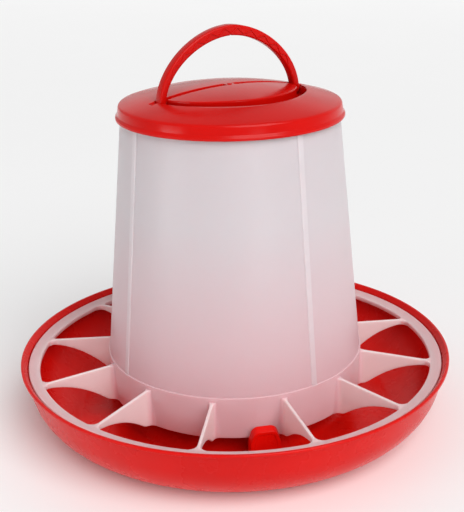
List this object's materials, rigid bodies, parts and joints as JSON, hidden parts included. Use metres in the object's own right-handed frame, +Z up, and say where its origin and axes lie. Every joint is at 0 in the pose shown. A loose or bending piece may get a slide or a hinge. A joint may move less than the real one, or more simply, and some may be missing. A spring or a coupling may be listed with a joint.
{
  "type": "poultry feeder",
  "caption": "Round hanging or standing poultry feeder: red pan, translucent tapered hopper with a finned feed-saver grille, domed lid and folding bail.",
  "frame": {"origin": "centre of the pan's foot, on the surface that the feeder stands on", "axes": "+Z up along the feeder's axis; one fin of the grille points along -Y and one along +X"},
  "size_m": [0.3, 0.3, 0.27],
  "materials": {
    "pan_red": "glossy moulded polypropylene",
    "hopper_natural": "satin translucent natural polypropylene",
    "lid_red": "glossy moulded polypropylene",
    "bail_red": "glossy moulded polypropylene"
  },
  "bodies": {
    "pan": {"pan": "pan_red"},
    "hopper": {"hopper": "hopper_natural"},
    "lid": {"lid": "lid_red"},
    "bail": {"bail_handle": "bail_red"}
  },
  "joints": [
    {"name": "hopper_twist", "type": "hinge", "parent": "pan", "child": "hopper", "pos_m": [0, 0, 0], "axis": [0, 0, 1], "range_deg": [0, 13]},
    {"name": "lid_lift", "type": "slide", "parent": "hopper", "child": "lid", "axis": [0, 0, 1], "range_m": [0, 0.08]},
    {"name": "bail_fold", "type": "hinge", "parent": "lid", "child": "bail", "pos_m": [0, 0, 0.224], "axis": [0.7694, 0.6388, 0], "range_deg": [0, 90]}
  ]
}
